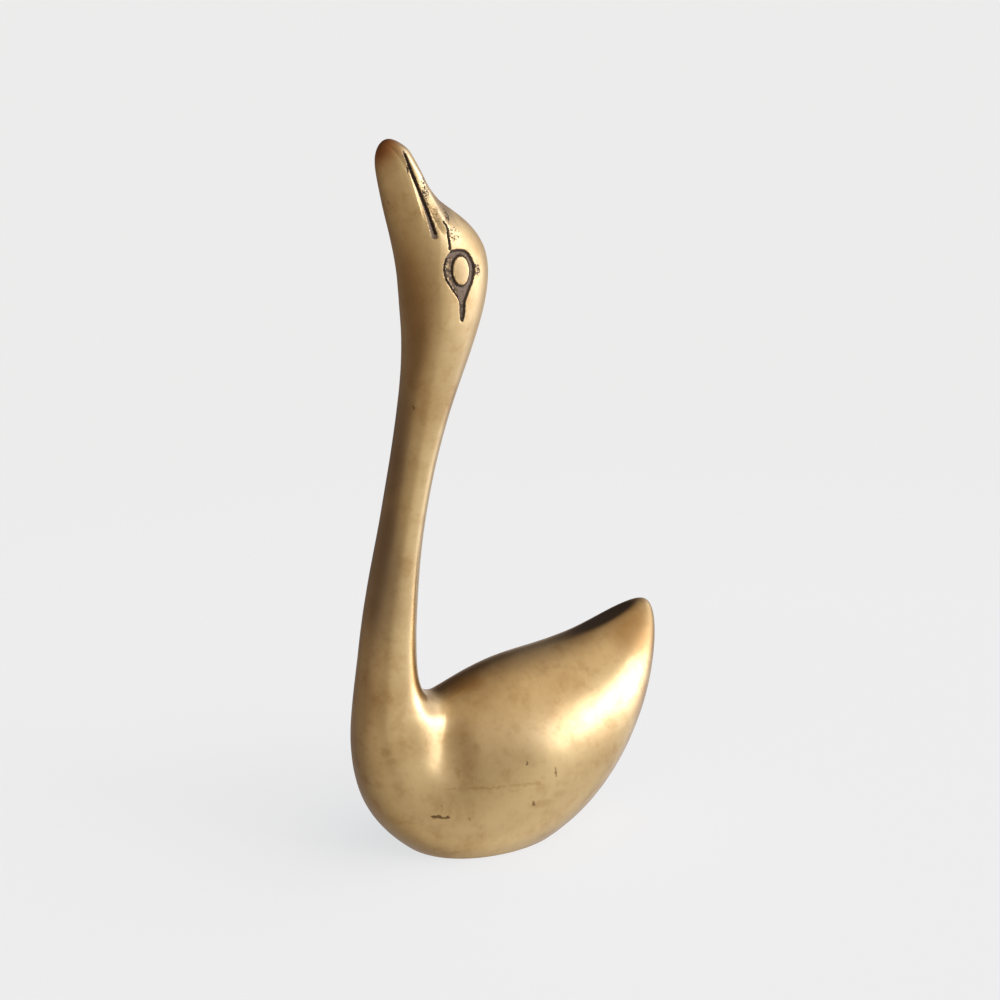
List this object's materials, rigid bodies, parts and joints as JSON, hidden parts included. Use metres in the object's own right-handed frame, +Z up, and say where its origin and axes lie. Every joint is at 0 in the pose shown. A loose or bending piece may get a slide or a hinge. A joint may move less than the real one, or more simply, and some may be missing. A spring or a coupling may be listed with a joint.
{
  "type": "swan figurine",
  "caption": "Cast brass long-necked swan that looks up, with a pointed tail and engraved eyes and bill, resting on its flat underside.",
  "frame": {"origin": "on the table, under the middle of the figurine's length and width", "axes": "+Z up, +Y towards the tail, -Y the way the breast faces, +X to the bird's left"},
  "size_m": [0.0476, 0.0918, 0.1887],
  "materials": {
    "brass": "hand-polished cast brass, warm and slightly aged, with dark tarnish in the engraved lines"
  },
  "bodies": {
    "root": {"swan": "brass"}
  },
  "joints": []
}
